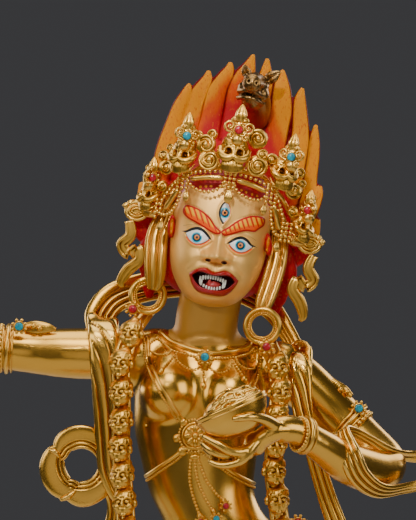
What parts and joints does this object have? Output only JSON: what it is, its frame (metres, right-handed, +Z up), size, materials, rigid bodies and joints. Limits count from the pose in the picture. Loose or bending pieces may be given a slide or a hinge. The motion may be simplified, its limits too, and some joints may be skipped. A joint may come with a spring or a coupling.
{
  "type": "dancing vajravarahi statue",
  "caption": "Dancing goddess statue with skull crown, painted flame hair, sow's head, head garland, scarf, skull cup and curved knife, on a low lotus base.",
  "frame": {"origin": "middle of the lotus base's underside", "axes": "+Z up, the figure faces -Y, her left hand is on the +X side"},
  "size_m": [0.2769, 0.1364, 0.4346],
  "materials": {
    "gilt_copper": "satin",
    "flame_paint": "satin",
    "antique_bronze": "satin",
    "coral": "satin",
    "turquoise": "satin"
  },
  "bodies": {
    "root": {"lotus_base": "gilt_copper", "figure": "gilt_copper", "skull_crown": "gilt_copper", "head_garland": "gilt_copper", "scarf": "gilt_copper", "arm_scarf": "gilt_copper", "skull_cup": "gilt_copper", "curved_knife": "gilt_copper", "flame_hair": "flame_paint", "sow_head": "antique_bronze", "stone_right_earring": "coral", "stone_left_earring": "coral", "stone_belt_right": "coral", "stone_belt_left": "coral", "stone_girdle": "coral", "stone_crown_middle": "coral", "stone_crown_far_right": "coral", "stone_crown_far_left": "coral", "stone_necklace": "turquoise", "stone_right_armlet": "turquoise", "stone_left_armlet": "turquoise", "stone_belt_middle": "turquoise", "stone_crown_right": "turquoise", "stone_crown_left": "turquoise"}
  },
  "joints": []
}
